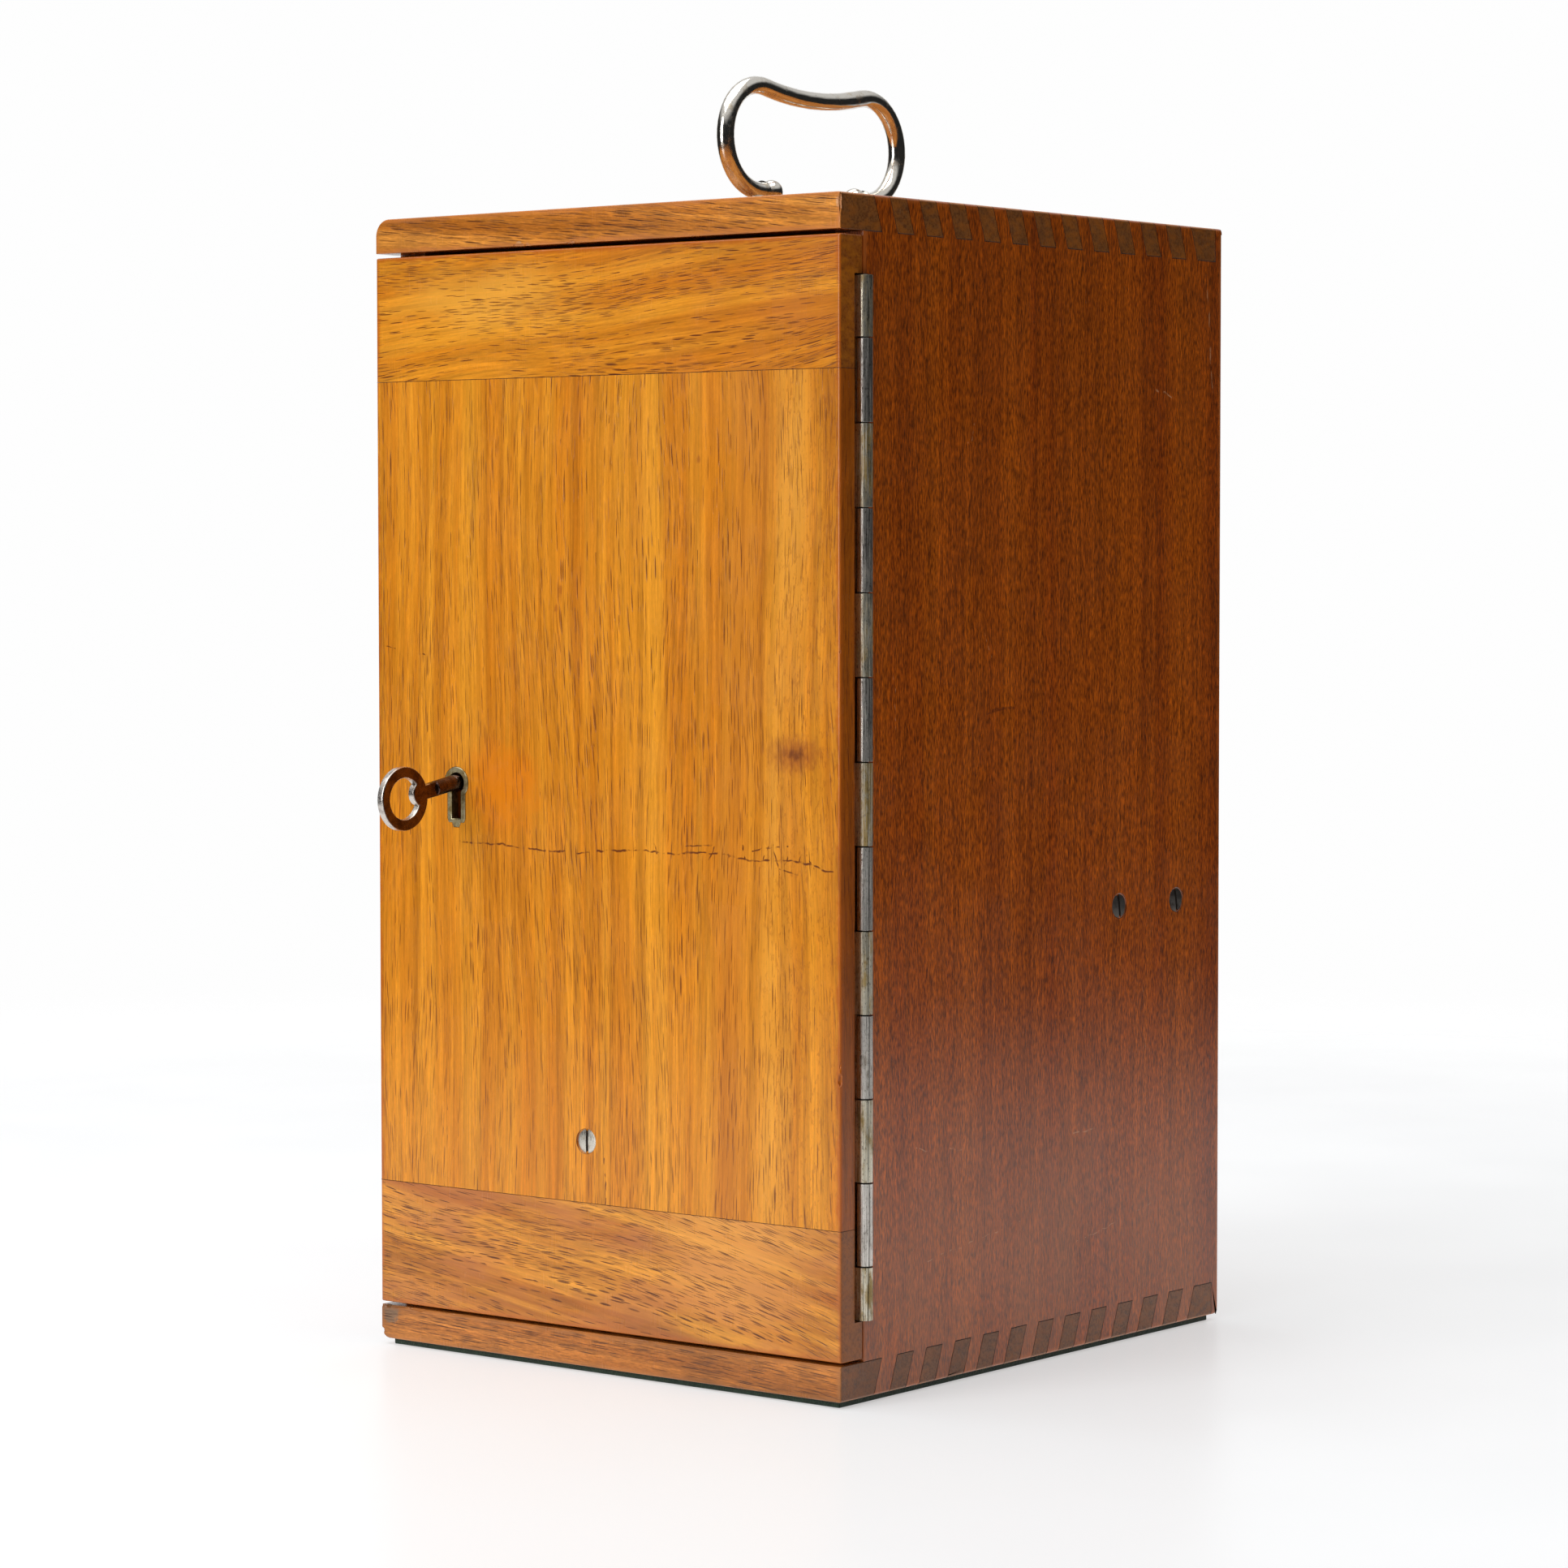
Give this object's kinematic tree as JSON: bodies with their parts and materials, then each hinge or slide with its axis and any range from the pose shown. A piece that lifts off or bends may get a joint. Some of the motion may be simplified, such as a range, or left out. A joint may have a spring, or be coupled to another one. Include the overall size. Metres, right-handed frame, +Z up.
{
  "type": "wooden microscope case",
  "caption": "Upright wooden carrying case with a full-length hinged door, a cupboard lock with its key and a folding bail handle on top.",
  "frame": {"origin": "middle of the case's base, on the underside of the felt", "axes": "+Z up, -Y out of the door, +X to the hinge side"},
  "size_m": [0.193, 0.2436, 0.4125],
  "materials": {
    "board_wood": "old varnish, satin",
    "side_wood": "old varnish, satin",
    "door_wood": "old varnish, satin",
    "rail_wood": "old varnish, satin",
    "back_wood": "thin varnish",
    "inside_wood": "bare, oiled",
    "felt": "dark green wool felt",
    "screw_brass": "aged",
    "lock_brass": "aged",
    "liner_metal": "worn nickel over brass",
    "light_hinge": "worn nickel over brass",
    "dark_hinge": "darkened",
    "dark_steel": "darkened",
    "bright_steel": "worn nickel",
    "key_steel": "brown, bright at the edges",
    "nickel": "polished nickel"
  },
  "bodies": {
    "case": {"top_board": "board_wood", "bottom_board": "board_wood", "left_side": "side_wood", "right_side": "side_wood", "back_panel": "back_wood", "back_screws": "screw_brass", "base_felt": "felt", "cradle_board": "inside_wood", "cradle_felt": "felt", "side_screws_right": "dark_steel", "side_screws_left": "dark_steel", "left_cleat": "inside_wood", "right_cleat": "inside_wood", "rear_cleat": "inside_wood", "cleat_screws": "screw_brass", "strike_plate": "lock_brass", "strike_screws": "screw_brass", "hinge_leaf_case": "dark_hinge", "hinge_screws_case": "dark_steel", "hinge_pin": "dark_steel", "handle_post_front": "nickel", "handle_post_rear": "nickel", "handle_washers": "nickel", "handle_nuts": "lock_brass"},
    "door": {"door_panel": "door_wood", "door_top_rail": "rail_wood", "door_bottom_rail": "rail_wood", "hinge_leaf_door": "light_hinge", "hinge_screws_door": "dark_steel", "escutcheon": "liner_metal", "lock_plate": "lock_brass", "lock_cap": "lock_brass", "lock_spring": "dark_steel", "lock_stud": "dark_steel", "lock_screws": "screw_brass", "door_block": "inside_wood", "door_pad": "felt", "door_block_screw": "bright_steel"},
    "bolt": {"lock_bolt": "lock_brass"},
    "key_stud": {"drill_pin": "dark_steel"},
    "key": {"key": "key_steel"},
    "handle": {"handle_bail": "nickel"}
  },
  "joints": [
    {"name": "door_hinge", "type": "hinge", "parent": "case", "child": "door", "pos_m": [0.0956, -0.09275, 0.1837], "axis": [0, 0, 1], "range_deg": [0, 180]},
    {"name": "key_turn", "type": "hinge", "parent": "door", "child": "key_stud", "pos_m": [-0.0607, -0.085, 0.1848], "axis": [0, -1, 0], "range_deg": [0, 360]},
    {"name": "key_withdraw", "type": "slide", "parent": "key_stud", "child": "key", "axis": [0, -1, 0], "range_m": [0, 0.045]},
    {"name": "bolt_slide", "type": "slide", "parent": "door", "child": "bolt", "axis": [-1, 0, 0], "range_m": [0, 0.006]},
    {"name": "handle_fold", "type": "hinge", "parent": "case", "child": "handle", "pos_m": [0, 0.0044, 0.3756], "axis": [0, 1, 0], "range_deg": [-100, 100]}
  ],
  "couplings": [
    {"joint": "bolt_slide", "follows": "key_turn", "m_per_rad": 0.00095493}
  ]
}
